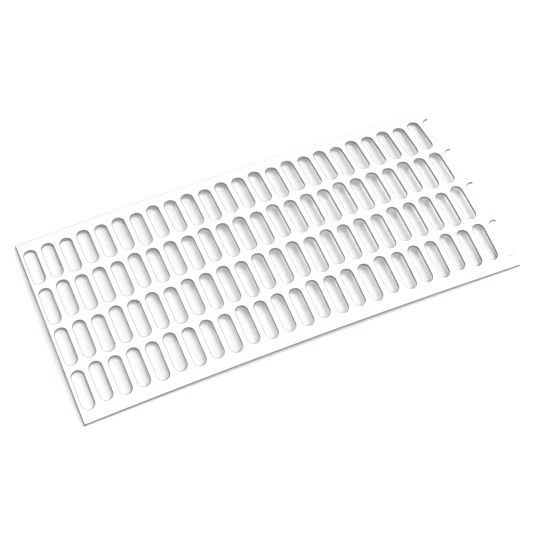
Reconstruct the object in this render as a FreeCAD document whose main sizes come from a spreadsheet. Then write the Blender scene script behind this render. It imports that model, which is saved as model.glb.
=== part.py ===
import FreeCAD, Part
import math
import os
import Sketcher

# A bee keeper's queen excluder: one thin plastic sheet, punched right through
# with four rows of round-ended slots. Worker bees squeeze through a slot and
# the queen, whose thorax is thicker, cannot.
#
# The sheet was punched as part of a longer strip and then sheared to size. It
# has sprung into a shallow dome, more arched at its right end, so it lies on
# its four corners with the middle raised.
# +X runs along the sheet, +Y from its front edge to its back edge, and +Z up.
# The origin is under the middle of the sheet, level with the four corners.

NODE = "slotted_sheet"

# alias, value in millimetres or a plain count, what it is
DIMENSIONS = [
    ("slotWidth", 4.2, "gap that lets a worker through and stops a queen"),
    ("slotLength", 14.0, "slot from end to end, with full round ends"),
    ("columnPitch", 6.25, "from one column of slots to the next"),
    ("rowPitch", 16.2, "from one row of slots to the next"),
    ("wholeColumns", 24, "columns of slots that stay whole between the ends"),
    ("rows", 4, "rows of slots"),
    ("thickness", 1.0, "thickness of the plastic"),
    ("sheetWidth", 70.7, "from the front edge to the back edge"),
    ("backMargin", 3.7, "plain plastic between the back row and the back edge"),
    ("leftEndGap", 3.4, "first column's centre to the left end"),
    ("backEndGap", 6.65, "last whole column's centre to the cut, back edge"),
    ("frontEndGap", 7.85, "last whole column's centre to the cut, front edge"),
    ("archLeft", 520.0, "radius across the sheet at its left end"),
    ("archMiddle", 262.0, "radius across the sheet at its middle"),
    ("archRight", 175.0, "radius across the sheet at its right end"),
    ("alongRise", 2.6, "rise of the middle over a straight line between ends"),
    ("trimming", 3.0, "plastic that the shears take off each long edge"),
    ("endTrimming", 8.0, "room for the scrap past the right end's cut"),
    ("pressGap", 2.0, "height of the open press tool over the sheet"),
    ("roundSides", 16, "flats round a slot's two ends, which keep the mesh light"),
    ("toolColumns", 4, "punches side by side in the press tool"),
    ("toolRows", 2, "rows of punches in the press tool"),
    ("strokesAlong", 7, "press strokes along the strip"),
    ("strokesAcross", 2, "press strokes across the strip"),
    # The tool's punches stand out of line, + towards the back edge, so the
    # slots step up and down in a pattern that comes back every four columns.
    ("backPunchOne", -0.10, "shift of the first punch, back row"),
    ("backPunchTwo", 0.16, "shift of the second punch, back row"),
    ("backPunchThree", -0.43, "shift of the third punch, back row"),
    ("backPunchFour", 0.27, "shift of the fourth punch, back row"),
    ("frontPunchOne", -0.27, "shift of the first punch, front row"),
    ("frontPunchTwo", 0.45, "shift of the second punch, front row"),
    ("frontPunchThree", -0.17, "shift of the third punch, front row"),
    ("frontPunchFour", 0.10, "shift of the fourth punch, front row"),
]

# alias, formula: lengths worked out from the dimensions above
WORKED_OUT = [
    ("gridLength", "=(wholeColumns - 1) * columnPitch"),
    ("sheetLength", "=leftEndGap + gridLength + frontEndGap"),
    ("halfLength", "=sheetLength / 2"),
    ("halfWidth", "=sheetWidth / 2"),
    ("firstColumn", "=leftEndGap - halfLength"),
    ("lastColumn", "=firstColumn + gridLength"),
    ("roundsApart", "=slotLength - slotWidth"),
    ("backRow", "=halfWidth - backMargin - slotLength / 2"),
    # each crown is as high as puts the corners below it at level 0
    ("crownLeft", "=archLeft - sqrt((archLeft - thickness)^2 - halfWidth^2)"),
    ("crownRight", "=archRight - sqrt((archRight - thickness)^2 - halfWidth^2)"),
    ("crownMiddle", "=(crownLeft + crownRight) / 2 + alongRise"),
]

# the press tool, back row first
PUNCHES = [
    ["backPunchOne", "backPunchTwo", "backPunchThree", "backPunchFour"],
    ["frontPunchOne", "frontPunchTwo", "frontPunchThree", "frontPunchFour"],
]

# Sketcher's own numbers for an edge's points, a sketch's origin and its axis
START, END, CENTRE = 1, 2, 3
ORIGIN = (-1, 1)
V_AXIS = -2


def make_spreadsheet(doc):
    sheet = doc.addObject("Spreadsheet::Sheet", "dimensions")
    for row, (alias, value, note) in enumerate(DIMENSIONS, start=1):
        sheet.set(f"A{row}", alias)
        sheet.set(f"B{row}", str(value))
        sheet.set(f"C{row}", note)
        sheet.setAlias(f"B{row}", alias)
    for row, (alias, formula) in enumerate(WORKED_OUT, start=len(DIMENSIONS) + 1):
        sheet.set(f"A{row}", alias)
        sheet.set(f"B{row}", formula)
        sheet.setAlias(f"B{row}", alias)
    doc.recompute()
    return sheet


def new_sketch(body, name, role):
    plane = next(f for f in body.Origin.OriginFeatures if f.Role == role)
    sketch = body.newObject("Sketcher::SketchObject", name)
    sketch.AttachmentSupport = (plane, "")
    sketch.MapMode = "FlatFace"
    return sketch


def dimension(sketch, kind, where, name, formula, value):
    """Adds a dimension to a sketch and binds it to the spreadsheet."""
    index = sketch.addConstraint(Sketcher.Constraint(kind, *where, value))
    sketch.renameConstraint(index, name)
    sketch.setExpression(f"Constraints.{name}", formula)


def tie(sketch, kind, *where):
    sketch.addConstraint(Sketcher.Constraint(kind, *where))


def point(x, y):
    return FreeCAD.Vector(x, y, 0)


def arc(sketch, x, y, radius, start, end):
    """Adds an arc, drawn anticlockwise between two angles in degrees."""
    circle = Part.Circle(point(x, y), FreeCAD.Vector(0, 0, 1), radius)
    span = Part.ArcOfCircle(circle, math.radians(start), math.radians(end))
    return sketch.addGeometry(span, False)


def full_round(sketch, x, y, radius):
    """Adds a circle that only guides other lines."""
    circle = Part.Circle(point(x, y), FreeCAD.Vector(0, 0, 1), radius)
    return sketch.addGeometry(circle, True)


def line(sketch, a, b):
    return sketch.addGeometry(Part.LineSegment(point(*a), point(*b)), False)


def arched_band(body, sheet, name, arch, crown, place):
    """A section across the strip: two arcs about one centre and upright sides."""
    sketch = new_sketch(body, name, "YZ_Plane")
    sketch.setExpression("AttachmentOffset.Base.z", place)
    half = sheet.halfWidth + sheet.trimming
    outer = getattr(sheet, arch)
    inner = outer - sheet.thickness
    centre = getattr(sheet, crown) - outer
    lean = math.degrees(math.asin(half / outer))
    top = arc(sketch, 0, centre, outer, 90 - lean, 90 + lean)
    lean = math.degrees(math.asin(half / inner))
    under = arc(sketch, 0, centre, inner, 90 - lean, 90 + lean)
    high = centre + math.sqrt(outer**2 - half**2)
    low = centre + math.sqrt(inner**2 - half**2)
    back = line(sketch, (half, high), (half, low))
    front = line(sketch, (-half, high), (-half, low))
    for side, end in ((back, START), (front, END)):
        tie(sketch, "Coincident", side, START, top, end)
        tie(sketch, "Coincident", side, END, under, end)
        tie(sketch, "Vertical", side)
    tie(sketch, "Coincident", top, CENTRE, under, CENTRE)
    tie(sketch, "Symmetric", top, START, top, END, V_AXIS)
    tie(sketch, "PointOnObject", top, CENTRE, V_AXIS)
    dimension(sketch, "Radius", (top,), "topArc", f"dimensions.{arch}", outer)
    dimension(sketch, "Radius", (under,), "underArc",
              f"dimensions.{arch} - dimensions.thickness", inner)
    dimension(sketch, "DistanceX", (top, END, top, START), "width",
              "dimensions.sheetWidth + 2 * dimensions.trimming", 2 * half)
    dimension(sketch, "DistanceY", (top, CENTRE, *ORIGIN), "centreDepth",
              f"dimensions.{arch} - dimensions.{crown}", -centre)
    return sketch


def domed_strip(body, sheet):
    """The strip, lofted from its left end through its middle to its right end."""
    sections = [
        arched_band(body, sheet, "leftSection", "archLeft", "crownLeft",
                    "-dimensions.halfLength"),
        arched_band(body, sheet, "middleSection", "archMiddle", "crownMiddle", "0"),
        arched_band(body, sheet, "rightSection", "archRight", "crownRight",
                    "dimensions.halfLength"),
    ]
    body.Document.recompute()
    strip = body.newObject("PartDesign::AdditiveLoft", "domedStrip")
    strip.Profile = sections[0]
    strip.Sections = sections[1:]
    return strip


def slot_corners(sheet):
    """Corners of a slot about its own middle, anticlockwise from the back right.

    Each end is half of a regular polygon drawn round the punch's true circle,
    so the flats touch the circle and width and length stay exact.
    """
    turn = 2 * math.pi / sheet.roundSides
    reach = sheet.roundsApart / 2
    corner_radius = sheet.slotWidth / 2 / math.cos(turn / 2)
    corners = []
    for index in range(int(sheet.roundSides)):
        angle = (index + 0.5) * turn
        end = reach if angle < math.pi else -reach
        corners.append((corner_radius * math.cos(angle),
                        corner_radius * math.sin(angle) + end))
    return corners


def slot_outline(sketch, sheet):
    """One punch, drawn about the sketch's origin."""
    radius = sheet.slotWidth / 2
    reach = sheet.roundsApart / 2
    back = full_round(sketch, 0, reach, radius)
    front = full_round(sketch, 0, -reach, radius)
    tie(sketch, "PointOnObject", back, CENTRE, V_AXIS)
    tie(sketch, "Symmetric", back, CENTRE, front, CENTRE, *ORIGIN)
    tie(sketch, "Equal", back, front)
    dimension(sketch, "Radius", (back,), "radius", "dimensions.slotWidth / 2", radius)
    dimension(sketch, "DistanceY", (*ORIGIN, back, CENTRE), "reach",
              "dimensions.roundsApart / 2", reach)

    corners = slot_corners(sheet)
    sides = [line(sketch, a, b) for a, b in zip(corners, corners[1:] + corners[:1])]
    for side, following in zip(sides, sides[1:] + sides[:1]):
        tie(sketch, "Coincident", side, END, following, START)
    left = len(sides) // 2 - 1
    for side in (sides[left], sides[-1]):
        tie(sketch, "Vertical", side)
        tie(sketch, "Tangent", side, back)
    for circle, flats in ((back, sides[:left]), (front, sides[left + 1:-1])):
        for flat in flats:
            tie(sketch, "Tangent", flat, circle)
        for flat in flats[1:]:
            tie(sketch, "Equal", flats[0], flat)
        tie(sketch, "Horizontal", flats[0], START, flats[-1], END)


def punch(body, sheet, name, column, row):
    """One punch of the press tool, driven down through the strip."""
    sketch = new_sketch(body, f"{name}Outline", "XY_Plane")
    sketch.setExpression("AttachmentOffset.Base.x",
                         f"dimensions.firstColumn + {column} * dimensions.columnPitch")
    sketch.setExpression("AttachmentOffset.Base.y",
                         f"dimensions.backRow - {row} * dimensions.rowPitch"
                         f" + dimensions.{name}")
    sketch.setExpression("AttachmentOffset.Base.z",
                         "dimensions.crownMiddle + dimensions.pressGap")
    slot_outline(sketch, sheet)
    cut = body.newObject("PartDesign::Pocket", name.replace("Punch", "Hole"))
    cut.Profile = sketch
    cut.Type = "ThroughAll"
    return cut


def punched_slots(body, sheet):
    """The press tool's first stroke, repeated along and across the strip."""
    stroke = [punch(body, sheet, name, column, row)
              for row, names in enumerate(PUNCHES)
              for column, name in enumerate(names)]
    body.Document.recompute()

    strokes = body.newObject("PartDesign::LinearPattern", "pressStrokes")
    strokes.Originals = stroke
    strokes.Direction = (stroke[0].Profile[0], ["H_Axis"])
    strokes.Mode = "Spacing"
    strokes.setExpression("Offset", "dimensions.toolColumns * dimensions.columnPitch")
    strokes.setExpression("Occurrences", "dimensions.strokesAlong")
    strokes.Direction2 = (stroke[0].Profile[0], ["V_Axis"])
    strokes.Reversed2 = True
    strokes.Mode2 = "Spacing"
    strokes.setExpression("Offset2", "dimensions.toolRows * dimensions.rowPitch")
    strokes.setExpression("Occurrences2", "dimensions.strokesAcross")
    # -1 leaves a step at the even offset above
    strokes.Spacings2 = [-1.0] * (int(sheet.strokesAcross) - 1)
    body.Tip = strokes
    return strokes


def sheared_edges(body, sheet):
    """Square cuts along both long edges and a slanted one through column 25.

    The scrap is one piece, shaped like a C round the back, right and front.
    """
    sketch = new_sketch(body, "shearLines", "XY_Plane")
    sketch.setExpression("AttachmentOffset.Base.z",
                         "dimensions.crownMiddle + dimensions.pressGap")
    back_right = sheet.lastColumn + sheet.backEndGap
    inner = sheet.halfWidth
    outer = inner + 2 * sheet.trimming
    left = sheet.halfLength + sheet.trimming
    right = sheet.halfLength + sheet.endTrimming
    corners = [
        (-left, inner), (back_right, inner), (sheet.halfLength, -inner),
        (-left, -inner), (-left, -outer), (right, -outer),
        (right, outer), (-left, outer),
    ]
    sides = [line(sketch, a, b) for a, b in zip(corners, corners[1:] + corners[:1])]
    for side, following in zip(sides, sides[1:] + sides[:1]):
        tie(sketch, "Coincident", side, END, following, START)
    back, slant, front, low_end, low, far, high, high_end = sides
    for side in (back, front, low, high):
        tie(sketch, "Horizontal", side)
    for side in (low_end, far, high_end):
        tie(sketch, "Vertical", side)
    half_width = "dimensions.halfWidth"
    outside = "dimensions.halfWidth + 2 * dimensions.trimming"
    past_left = "dimensions.halfLength + dimensions.trimming"
    dimension(sketch, "DistanceY", (*ORIGIN, back, END), "backEdge",
              half_width, inner)
    dimension(sketch, "DistanceY", (front, START, *ORIGIN), "frontEdge",
              half_width, inner)
    dimension(sketch, "DistanceY", (*ORIGIN, high, START), "scrapBack",
              outside, outer)
    dimension(sketch, "DistanceY", (low, END, *ORIGIN), "scrapFront",
              outside, outer)
    dimension(sketch, "DistanceX", (*ORIGIN, slant, START), "rightCutAtBack",
              "dimensions.lastColumn + dimensions.backEndGap", back_right)
    dimension(sketch, "DistanceX", (*ORIGIN, slant, END), "rightCutAtFront",
              "dimensions.halfLength", sheet.halfLength)
    dimension(sketch, "DistanceX", (back, START, *ORIGIN), "scrapAtBackLeft",
              past_left, left)
    dimension(sketch, "DistanceX", (front, END, *ORIGIN), "scrapAtFrontLeft",
              past_left, left)
    dimension(sketch, "DistanceX", (*ORIGIN, far, START), "scrapRight",
              "dimensions.halfLength + dimensions.endTrimming", right)

    cut = body.newObject("PartDesign::Pocket", "shearedEdges")
    cut.Profile = sketch
    cut.Type = "ThroughAll"
    return cut


def check_punching(strip, last, sheet):
    """Compares what one stroke took out with the area of its slots."""
    rounds = math.pi * sheet.slotWidth**2 / 4
    slot_area = sheet.slotWidth * sheet.roundsApart + rounds
    punches = sheet.toolColumns * sheet.toolRows
    taken = strip.Shape.Volume - last.Shape.Volume
    share = taken / (slot_area * sheet.thickness * punches)
    print(f"{punches:.0f} slots in a stroke, {share:.3f} of their plain volume")
    if not 0.99 < share < 1.03:
        raise RuntimeError("the first stroke cut too little or too much")


def check_slots(body, sheet):
    """Counts the whole slots, which are holes in the sheet's upper face."""
    upper = max(body.Shape.Faces, key=lambda face: face.Area)
    holes = len(upper.Wires) - 1
    wanted = sheet.rows * sheet.wholeColumns
    print(f"{holes} whole slots, {wanted:.0f} wanted")
    if holes != wanted:
        raise RuntimeError("slots are missing")


def slotted_sheet(doc, sheet):
    body = doc.addObject("PartDesign::Body", "Sheet")
    body.Label = NODE
    body.Placement = FreeCAD.Placement()
    strip = domed_strip(body, sheet)
    doc.recompute()
    strokes = punched_slots(body, sheet)
    doc.recompute()
    check_punching(strip, strokes.Originals[-1], sheet)
    sheared_edges(body, sheet)
    doc.recompute()
    check_slots(body, sheet)
    return body


def check(doc, bodies):
    for item in doc.Objects:
        if "Invalid" in item.State or "Error" in item.State:
            raise RuntimeError(f"{item.Name} failed: {item.State}")
    for body in bodies:
        if body.Shape.isNull() or not body.Shape.isValid():
            raise RuntimeError(f"{body.Label} has no valid shape")
        if len(body.Shape.Solids) != 1:
            raise RuntimeError(f"{body.Label} is {len(body.Shape.Solids)} solids")


def main():
    doc = FreeCAD.newDocument("QueenExcluder")
    sheet = make_spreadsheet(doc)
    bodies = [slotted_sheet(doc, sheet)]
    check(doc, bodies)
    os.makedirs("parts", exist_ok=True)
    for body in bodies:
        body.Shape.exportStep(f"parts/{body.Label}.step")
        box = body.Shape.optimalBoundingBox(False)
        print(f"{body.Label}: {body.Shape.Volume / 1000:.3f} cm3, "
              f"{box.XLength:.2f} x {box.YLength:.2f} x {box.ZLength:.2f} mm, "
              f"underside from {box.ZMin:.4f} mm")


main()
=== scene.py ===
import math

import bmesh
import bpy
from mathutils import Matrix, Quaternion, Vector


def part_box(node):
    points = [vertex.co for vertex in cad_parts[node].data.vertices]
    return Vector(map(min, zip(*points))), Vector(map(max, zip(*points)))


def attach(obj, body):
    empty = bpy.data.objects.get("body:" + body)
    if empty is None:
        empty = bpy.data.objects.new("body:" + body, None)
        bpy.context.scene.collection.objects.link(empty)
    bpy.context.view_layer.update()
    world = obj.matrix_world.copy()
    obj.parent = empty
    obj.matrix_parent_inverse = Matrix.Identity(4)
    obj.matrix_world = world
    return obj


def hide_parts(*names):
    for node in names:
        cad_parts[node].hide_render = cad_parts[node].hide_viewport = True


# A bee keeper's queen excluder: one thin white plastic sheet, punched with four
# rows of round-ended slots. It lies on its four corners, a little domed.

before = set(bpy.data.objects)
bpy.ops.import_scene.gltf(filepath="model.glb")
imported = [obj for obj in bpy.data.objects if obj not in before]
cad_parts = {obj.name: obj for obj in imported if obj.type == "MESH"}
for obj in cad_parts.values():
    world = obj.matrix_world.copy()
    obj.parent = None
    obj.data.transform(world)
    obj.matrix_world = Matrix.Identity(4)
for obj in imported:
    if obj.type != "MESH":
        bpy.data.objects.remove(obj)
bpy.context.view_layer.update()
print("frame loaded")

mm = 0.001
sheetLow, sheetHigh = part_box("slotted_sheet")

viewpoint = {
    "aim": Vector((-3.6, -5.9, 5.0)) * mm,
    "heading": 26.99,     # degrees from +Y towards +X
    "lookDown": 58.48,    # degrees below level
    "tilt": 4.23,         # degrees, the right side of the view raised
    "distance": 413.4 * mm,
    "lens": 84.28,        # mm, on a 36 mm wide sensor
}


def placeCamera():
    heading = math.radians(viewpoint["heading"])
    down = math.radians(viewpoint["lookDown"])
    look = Vector((math.sin(heading) * math.cos(down),
                   math.cos(heading) * math.cos(down),
                   -math.sin(down)))
    data = bpy.data.cameras.new("camera")
    data.lens = viewpoint["lens"]
    data.sensor_width = 36
    camera = bpy.data.objects.new("camera", data)
    bpy.context.collection.objects.link(camera)
    camera.location = viewpoint["aim"] - look * viewpoint["distance"]
    camera.rotation_mode = "QUATERNION"
    turn = Quaternion((0, 0, 1), math.radians(viewpoint["tilt"]))
    camera.rotation_quaternion = look.to_track_quat("-Z", "Y") @ turn
    bpy.context.scene.camera = camera


placeCamera()
print("camera placed")

sheet = {
    "columns": 25,              # the last one is cut open by the slanted end
    "rows": 4,
    "columnPitch": 6.25 * mm,
    "rowPitch": 16.2 * mm,
    "slotWidth": 4.2 * mm,
    "slotLength": 14.0 * mm,
    "thickness": 1.0 * mm,
    "leftGap": 3.4 * mm,        # first column's centre to the left end
    "backMargin": 3.7 * mm,     # plain plastic behind the back row
    "cutSlant": 1.2 * mm,       # how much further the right end reaches in front
    "rolledRim": 0.15 * mm,     # the punch rolls the upper rims over, this wide
    "rimDrop": 0.10 * mm,       # and this deep
    "crispRim": 0.05 * mm,      # and breaks out sharp underneath
    "roundSteps": 4,            # points on each eighth of a round end
    "sideSteps": 4,             # points along a slot's straight side
    # the press tool's punches stand a little out of line, + is to the back
    "frontShifts": [s * mm for s in (-0.27, 0.45, -0.17, 0.10)],
    "backShifts": [s * mm for s in (-0.10, 0.16, -0.43, 0.27)],
}

dome = {
    "leftArch": 520 * mm,       # radius across the sheet at its left end
    "middleArch": 262 * mm,
    "rightArch": 175 * mm,
    "alongRise": 2.6 * mm,      # middle over a straight line between the ends
}


def crown(radius, halfWidth):
    # height of the arch over corners whose underside is at 0
    inner = radius - sheet["thickness"]
    return radius - math.sqrt(inner**2 - halfWidth**2)


def domeHeight(x, y, depth):
    # three arches, left, middle and right, joined by a parabola along the sheet
    halfLength = (sheetHigh.x - sheetLow.x) / 2
    halfWidth = (sheetHigh.y - sheetLow.y) / 2
    left = crown(dome["leftArch"], halfWidth)
    right = crown(dome["rightArch"], halfWidth)
    middle = (left + right) / 2 + dome["alongRise"]
    u = x / halfLength
    arches = (
        (u * (u - 1) / 2, dome["leftArch"], left),
        (1 - u * u, dome["middleArch"], middle),
        (u * (u + 1) / 2, dome["rightArch"], right),
    )
    height = 0
    for share, radius, top in arches:
        height += share * (top - radius + math.sqrt((radius - depth)**2 - y * y))
    return min(max(height, sheetLow.z), sheetHigh.z)


def rimProfile():
    # from the upper face down a wall to the lower face: how far back from the
    # wall each ring of points stands, and how deep
    soft, drop = sheet["rolledRim"], sheet["rimDrop"]
    crisp, depth = sheet["crispRim"], sheet["thickness"]
    profile = []
    for angle in (0, 30, 60, 90):
        a = math.radians(angle)
        profile.append((soft * (1 - math.sin(a)), drop * (1 - math.cos(a))))
    for angle in (90, 45, 0):
        a = math.radians(angle)
        profile.append((crisp * (1 - math.sin(a)), depth - crisp * (1 - math.cos(a))))
    return profile


def halfRound():
    # directions from a round's centre, right to left over a half circle
    count = 4 * sheet["roundSteps"]
    return [math.pi * k / count for k in range(count + 1)]


def straightSide():
    # where the points between a side's two ends stand, from 1 down to -1
    count = sheet["sideSteps"]
    return [1 - 2 * k / count for k in range(1, count)]


def slotRing(x, y, grow):
    # the slot's outline, anticlockwise from its back right
    radius = sheet["slotWidth"] / 2 + grow
    reach = (sheet["slotLength"] - sheet["slotWidth"]) / 2
    ring = [(x + radius * math.cos(a), y + reach + radius * math.sin(a)) for a in halfRound()]
    ring += [(x - radius, y + reach * s) for s in straightSide()]
    ring += [(x - radius * math.cos(a), y - reach - radius * math.sin(a)) for a in halfRound()]
    ring += [(x + radius, y - reach * s) for s in straightSide()]
    return ring


def cellRing(x, y, left, right, front, back):
    # points on the cell's border that pair off with the slot's outline
    reach = (sheet["slotLength"] - sheet["slotWidth"]) / 2

    def onBorder(angle, toRight, toLeft, toEnd):
        c, s = math.cos(angle), math.sin(angle)
        across = toRight if c > 0 else toLeft
        if s <= abs(c) + 1e-9:
            return math.copysign(across, c), toEnd * s / abs(c)
        return across * c / s, toEnd

    ring = []
    for angle in halfRound():
        dx, dy = onBorder(angle, right - x, x - left, back - y - reach)
        ring.append((x + dx, y + reach + dy))
    ring += [(left, y + reach * s) for s in straightSide()]
    for angle in halfRound():
        dx, dy = onBorder(angle, x - left, right - x, y - reach - front)
        ring.append((x - dx, y - reach - dy))
    ring += [(right, y - reach * s) for s in straightSide()]
    return ring


def joinRings(bm, upper, lower, material):
    # a band of faces between two rings of as many points
    for k in range(len(upper)):
        following = (k + 1) % len(upper)
        face = bm.faces.new((upper[k], lower[k], lower[following], upper[following]))
        face.material_index = material


def punchedCell(bm, x, y, shift, border):
    # both skins round one slot, and the slot's wall with its two rims
    skins = []
    for inset, depth in (rimProfile()[0], rimProfile()[-1]):
        low, high = sheetLow.y + inset, sheetHigh.y - inset
        left = sheetLow.x + inset
        skins.append([bm.verts.new((max(px, left), min(max(py, low), high), -depth))
                      for px, py in cellRing(x, y, *border)])
    rings = [[bm.verts.new((px, py, -depth)) for px, py in slotRing(x, y + shift, grow)]
             for grow, depth in rimProfile()]
    joinRings(bm, rings[0], skins[0], 0)
    for upper, lower in zip(rings, rings[1:]):
        joinRings(bm, lower, upper, 1)
    joinRings(bm, skins[1], rings[-1], 0)


def punchedStrip():
    # the flat strip, one cell round each slot, open along its outer edges
    bm = bmesh.new()
    firstColumn = sheetLow.x + sheet["leftGap"]
    backRow = sheetHigh.y - sheet["backMargin"] - sheet["slotLength"] / 2
    for row in range(sheet["rows"]):
        shifts = sheet["frontShifts"] if row % 2 else sheet["backShifts"]
        y = backRow - row * sheet["rowPitch"]
        back = sheetHigh.y if row == 0 else y + sheet["rowPitch"] / 2
        front = sheetLow.y if row == sheet["rows"] - 1 else y - sheet["rowPitch"] / 2
        for column in range(sheet["columns"]):
            x = firstColumn + column * sheet["columnPitch"]
            left = sheetLow.x if column == 0 else x - sheet["columnPitch"] / 2
            right = x + sheet["columnPitch"] / 2
            punchedCell(bm, x, y, shifts[column % len(shifts)], (left, right, front, back))
    bmesh.ops.remove_doubles(bm, verts=bm.verts, dist=0.005 * mm)
    return bm


def closeOuterEdges(bm):
    # the sheared walls along the left, front and back edges, rims included
    soft = sheet["rolledRim"] + 0.001 * mm
    upper = [v for v in bm.verts if v.is_boundary and v.co.z == 0]
    onLeft = {v for v in upper if v.co.x < sheetLow.x + soft}
    onFront = {v for v in upper if v.co.y < sheetLow.y + soft}
    onBack = {v for v in upper if v.co.y > sheetHigh.y - soft}
    edges = [e for e in bm.edges if e.is_boundary
             and any(e.verts[0] in side and e.verts[1] in side
                     for side in (onLeft, onFront, onBack))]
    columns = {}
    for vert in {v for e in edges for v in e.verts}:
        columns[vert] = [vert]
        for back, depth in rimProfile()[1:]:
            spot = vert.co.copy()
            spot.z = -depth
            if vert in onLeft:
                spot.x = sheetLow.x + back
            if vert in onFront:
                spot.y = sheetLow.y + back
            if vert in onBack:
                spot.y = sheetHigh.y - back
            columns[vert].append(bm.verts.new(spot))
    for edge in edges:
        a, b = edge.verts
        for k in range(len(columns[a]) - 1):
            face = bm.faces.new((columns[a][k], columns[b][k],
                                 columns[b][k + 1], columns[a][k + 1]))
            face.material_index = 1
    bmesh.ops.remove_doubles(bm, verts=bm.verts, dist=0.005 * mm)


def shearRightEnd(bm):
    # the slanted cut that opens the last column into notches
    frontCorner = Vector((sheetHigh.x, sheetLow.y, 0))
    backCorner = Vector((sheetHigh.x - sheet["cutSlant"], sheetHigh.y, 0))
    along = backCorner - frontCorner
    outward = Vector((along.y, -along.x, 0)).normalized()
    cut = bmesh.ops.bisect_plane(bm, geom=bm.verts[:] + bm.edges[:] + bm.faces[:],
                                 dist=0.001 * mm, plane_co=frontCorner, plane_no=outward,
                                 clear_outer=True)
    rims = [g for g in cut["geom_cut"] if isinstance(g, bmesh.types.BMEdge)]
    caps = bmesh.ops.holes_fill(bm, edges=rims)
    for face in caps["faces"]:
        face.material_index = 1
    return caps["faces"]


def makeSheet():
    bm = punchedStrip()
    closeOuterEdges(bm)
    caps = shearRightEnd(bm)
    bmesh.ops.recalc_face_normals(bm, faces=bm.faces)
    for face in bm.faces:
        face.smooth = True
    for face in caps:
        for edge in face.edges:
            edge.smooth = False
    depthShare = bm.verts.layers.float.new("depth")      # for the cut walls' material
    for vert in bm.verts:
        depth = -vert.co.z
        vert[depthShare] = depth / sheet["thickness"]
        vert.co.z = domeHeight(vert.co.x, vert.co.y, depth)
    mesh = bpy.data.meshes.new("excluder_sheet")
    bm.to_mesh(mesh)
    openEdges = sum(not e.is_manifold for e in bm.edges)
    print("sheet:", len(bm.faces), "faces,", openEdges, "open edges")
    bm.free()
    piece = bpy.data.objects.new("excluder_sheet", mesh)
    bpy.context.collection.objects.link(piece)
    shading = piece.modifiers.new("flat faces stay flat", "WEIGHTED_NORMAL")
    shading.keep_sharp = True
    return piece


# Two finishes of the one plastic: its faces, as rolled, and the walls that the punch and
# the shear left, painted dark grey-mauve with near black rims as painted shade.

plastic = {
    "pale": (0.905, 0.905, 0.90, 1),
    "dull": (0.885, 0.885, 0.878, 1),
    "scuffed": (0.83, 0.83, 0.825, 1),
    "roughness": (0.36, 0.46),      # pale patches, dull patches
    "scuffRoughness": 0.62,
    "scuffFrom": 0.72,              # how strong a streak has to be to show as a scuff
    "scuffAmount": 0.35,
    "grainSize": 0.30 * mm,
    "patchSize": 9.0 * mm,
    "streakSize": 0.25 * mm,        # rolling marks, twenty times as long as wide
    "streakStretch": (0.05, 1.0, 1.0),
    "streakHeight": 0.25,           # against the grain's
    "grainDepth": 0.003 * mm,
}

shadedCutPlastic = {
    "rim": (0.13, 0.112, 0.124, 1),       # the rolled rim, painted near black as a shade outline round every slot and edge
    "sheared": (0.30, 0.268, 0.29, 1),    # the upper part, burnished by the punch, painted dark grey as shade on the wall
    "broken": (0.48, 0.438, 0.466, 1),    # the lower part, whiter where it broke away, still painted grey as shade on the wall
    "roughness": (0.40, 0.68),
    "rimFrom": 0.06,                # of the thickness, and where the wall begins
    "rimTo": 0.16,
    "breakFrom": 0.45,              # of the thickness, and how wide the change
    "breakWidth": 0.40,
    "raggedness": 0.25,             # how far the streaks shift it
    "grainSize": 0.12 * mm,
    "patchSize": 2.5 * mm,
    "streakSize": 0.14 * mm,        # drag marks down the wall
    "streakStretch": (1.0, 1.0, 0.08),
    "grainHeight": 0.5,             # against the streaks'
    "grainDepth": 0.012 * mm,
}


def noiseInto(group, place, scaleSocket, detail):
    noise = group.nodes.new("ShaderNodeTexNoise")
    noise.inputs["Detail"].default_value = detail
    group.links.new(place, noise.inputs["Vector"])
    group.links.new(scaleSocket, noise.inputs["Scale"])
    return noise.outputs["Fac"]


def spread(tree, value, low, high):
    # stretches a noise's middle range over 0 to 1
    ramp = tree.nodes.new("ShaderNodeMapRange")
    ramp.inputs["From Min"].default_value = low
    ramp.inputs["From Max"].default_value = high
    tree.links.new(value, ramp.inputs["Value"])
    return ramp.outputs["Result"]


def makeSurfaceGroup():
    # fine grain, broad faint patches, and streaks along one direction
    group = bpy.data.node_groups.new("plasticSurface", "ShaderNodeTree")
    sockets = group.interface
    sockets.new_socket("Place", in_out="INPUT", socket_type="NodeSocketVector")
    for name in ("Grain per Metre", "Patches per Metre", "Streaks per Metre"):
        sockets.new_socket(name, in_out="INPUT", socket_type="NodeSocketFloat")
    sockets.new_socket("Streak Stretch", in_out="INPUT", socket_type="NodeSocketVector")
    for name in ("Grain", "Patches", "Streaks"):
        sockets.new_socket(name, in_out="OUTPUT", socket_type="NodeSocketFloat")
    given = group.nodes.new("NodeGroupInput").outputs
    result = group.nodes.new("NodeGroupOutput").inputs
    stretched = group.nodes.new("ShaderNodeVectorMath")
    stretched.operation = "MULTIPLY"
    group.links.new(given["Place"], stretched.inputs[0])
    group.links.new(given["Streak Stretch"], stretched.inputs[1])
    grain = noiseInto(group, given["Place"], given["Grain per Metre"], 3)
    patches = noiseInto(group, given["Place"], given["Patches per Metre"], 2)
    streaks = noiseInto(group, stretched.outputs["Vector"], given["Streaks per Metre"], 2)
    group.links.new(grain, result["Grain"])
    group.links.new(spread(group, patches, 0.35, 0.65), result["Patches"])
    group.links.new(spread(group, streaks, 0.30, 0.70), result["Streaks"])
    return group


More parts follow.
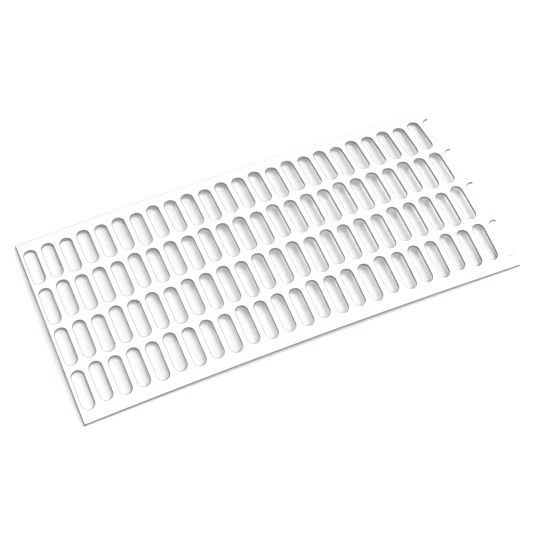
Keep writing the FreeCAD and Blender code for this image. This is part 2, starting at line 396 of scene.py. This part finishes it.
def surfaceIn(material, group, look):
    # the group in a material, with that material's own sizes
    tree = material.node_tree
    place = tree.nodes.new("ShaderNodeTexCoord")
    surface = tree.nodes.new("ShaderNodeGroup")
    surface.node_tree = group
    surface.inputs["Grain per Metre"].default_value = 1 / look["grainSize"]
    surface.inputs["Patches per Metre"].default_value = 1 / look["patchSize"]
    surface.inputs["Streaks per Metre"].default_value = 1 / look["streakSize"]
    surface.inputs["Streak Stretch"].default_value = look["streakStretch"]
    tree.links.new(place.outputs["Object"], surface.inputs["Place"])
    return surface.outputs


def mixed(tree, factor, first, second, kind="RGBA"):
    # between two colours or two numbers, each a value or another node's output
    node = tree.nodes.new("ShaderNodeMix")
    node.data_type = kind
    a, b = [i for i in node.inputs if i.name in ("A", "B") and i.enabled]
    tree.links.new(factor, next(i for i in node.inputs if i.name == "Factor" and i.enabled))
    for socket, value in ((a, first), (b, second)):
        if isinstance(value, bpy.types.NodeSocket):
            tree.links.new(value, socket)
        else:
            socket.default_value = value
    return next(o for o in node.outputs if o.enabled)


def sumOf(tree, first, second, share):
    # first + second * share
    node = tree.nodes.new("ShaderNodeMath")
    node.operation = "MULTIPLY_ADD"
    node.inputs[1].default_value = share
    tree.links.new(second, node.inputs[0])
    tree.links.new(first, node.inputs[2])
    return node.outputs["Value"]


def bumped(tree, height, depth):
    bump = tree.nodes.new("ShaderNodeBump")
    bump.inputs["Distance"].default_value = depth
    tree.links.new(height, bump.inputs["Height"])
    return bump.outputs["Normal"]


def makePlastic(group):
    material = bpy.data.materials.new("satin_white_plastic")
    material.use_nodes = True
    tree = material.node_tree
    shader = tree.nodes["Principled BSDF"]
    surface = surfaceIn(material, group, plastic)
    start = plastic["scuffFrom"]
    scuffs = spread(tree, surface["Streaks"], start, start + (1 - start) / plastic["scuffAmount"])
    color = mixed(tree, surface["Patches"], plastic["pale"], plastic["dull"])
    rough = mixed(tree, surface["Patches"], *plastic["roughness"], kind="FLOAT")
    tree.links.new(mixed(tree, scuffs, color, plastic["scuffed"]), shader.inputs["Base Color"])
    tree.links.new(mixed(tree, scuffs, rough, plastic["scuffRoughness"], kind="FLOAT"),
                   shader.inputs["Roughness"])
    height = sumOf(tree, surface["Grain"], surface["Streaks"], plastic["streakHeight"])
    tree.links.new(bumped(tree, height, plastic["grainDepth"]), shader.inputs["Normal"])
    return material


def makeShadedCutPlastic(group):
    material = bpy.data.materials.new("shaded_cut_plastic")
    material.use_nodes = True
    tree = material.node_tree
    shader = tree.nodes["Principled BSDF"]
    surface = surfaceIn(material, group, shadedCutPlastic)
    down = tree.nodes.new("ShaderNodeAttribute")     # 0 at the upper face, 1 at the lower
    down.attribute_name = "depth"
    start = shadedCutPlastic["breakFrom"]
    ragged = sumOf(tree, down.outputs["Fac"], surface["Streaks"], shadedCutPlastic["raggedness"])
    brokenAway = spread(tree, ragged, start, start + shadedCutPlastic["breakWidth"])
    # painted shade: near black at the rim, then grey down the wall, lighter where it broke away
    inWall = spread(tree, down.outputs["Fac"], shadedCutPlastic["rimFrom"], shadedCutPlastic["rimTo"])
    wall = mixed(tree, brokenAway, shadedCutPlastic["sheared"], shadedCutPlastic["broken"])
    tree.links.new(mixed(tree, inWall, shadedCutPlastic["rim"], wall), shader.inputs["Base Color"])
    tree.links.new(mixed(tree, brokenAway, *shadedCutPlastic["roughness"], kind="FLOAT"),
                   shader.inputs["Roughness"])
    height = sumOf(tree, surface["Streaks"], surface["Grain"], shadedCutPlastic["grainHeight"])
    tree.links.new(bumped(tree, height, shadedCutPlastic["grainDepth"]), shader.inputs["Normal"])
    return material


piece = makeSheet()
surfaceGroup = makeSurfaceGroup()
piece.data.materials.append(makePlastic(surfaceGroup))
piece.data.materials.append(makeShadedCutPlastic(surfaceGroup))
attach(piece, "root")
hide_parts("slotted_sheet")
print("sheet made")

studio = {
    "floorSize": 16.0,
    "floorColor": (0.9, 0.9, 0.9, 1),
    "floorRoughness": 0.8,
    "sky": 0.22,                # how bright this light alone makes the floor
    "skyColor": (1, 0.86, 0.97, 1),
    "lampDistance": 2.5,
    # a lamp's light is how bright it alone makes the floor, and its lean is how
    # far it stands from straight overhead, as a share of its height
    "lamps": [
        {"name": "overhead", "light": 0.58, "lean": (0.12, -0.38), "size": 0.88},
        {"name": "side", "light": 0.37, "lean": (0.8, 0.1), "size": 1.5},
    ],
}


def makeFloor():
    half = studio["floorSize"] / 2
    mesh = bpy.data.meshes.new("floor")
    corners = [(-half, -half, 0), (half, -half, 0), (half, half, 0), (-half, half, 0)]
    mesh.from_pydata(corners, [], [(0, 1, 2, 3)])
    floor = bpy.data.objects.new("floor", mesh)
    bpy.context.collection.objects.link(floor)
    material = bpy.data.materials.new("floor_white")
    material.use_nodes = True
    shader = material.node_tree.nodes["Principled BSDF"]
    shader.inputs["Base Color"].default_value = studio["floorColor"]
    shader.inputs["Roughness"].default_value = studio["floorRoughness"]
    shader.inputs["Specular IOR Level"].default_value = 0.2
    mesh.materials.append(material)


def makeLamp(lamp):
    # a soft square lamp, turned to face the sheet
    lean = Vector((*lamp["lean"], 1)).normalized()
    distance = studio["lampDistance"]
    data = bpy.data.lights.new(lamp["name"], "AREA")
    data.size = lamp["size"]
    data.energy = lamp["light"] * (math.pi * distance)**2 / (studio["floorColor"][1] * lean.z)
    lampObject = bpy.data.objects.new(lamp["name"], data)
    bpy.context.collection.objects.link(lampObject)
    lampObject.location = lean * distance
    lampObject.rotation_mode = "QUATERNION"
    lampObject.rotation_quaternion = (-lean).to_track_quat("-Z", "Y")


def makeSky():
    world = bpy.data.worlds.new("studio")
    world.use_nodes = True
    background = world.node_tree.nodes["Background"]
    background.inputs["Color"].default_value = studio["skyColor"]
    background.inputs["Strength"].default_value = studio["sky"] / studio["floorColor"][1]
    bpy.context.scene.world = world


makeFloor()
makeSky()
for lamp in studio["lamps"]:
    makeLamp(lamp)
bpy.context.scene.view_settings.view_transform = "Standard"
print("studio lit")
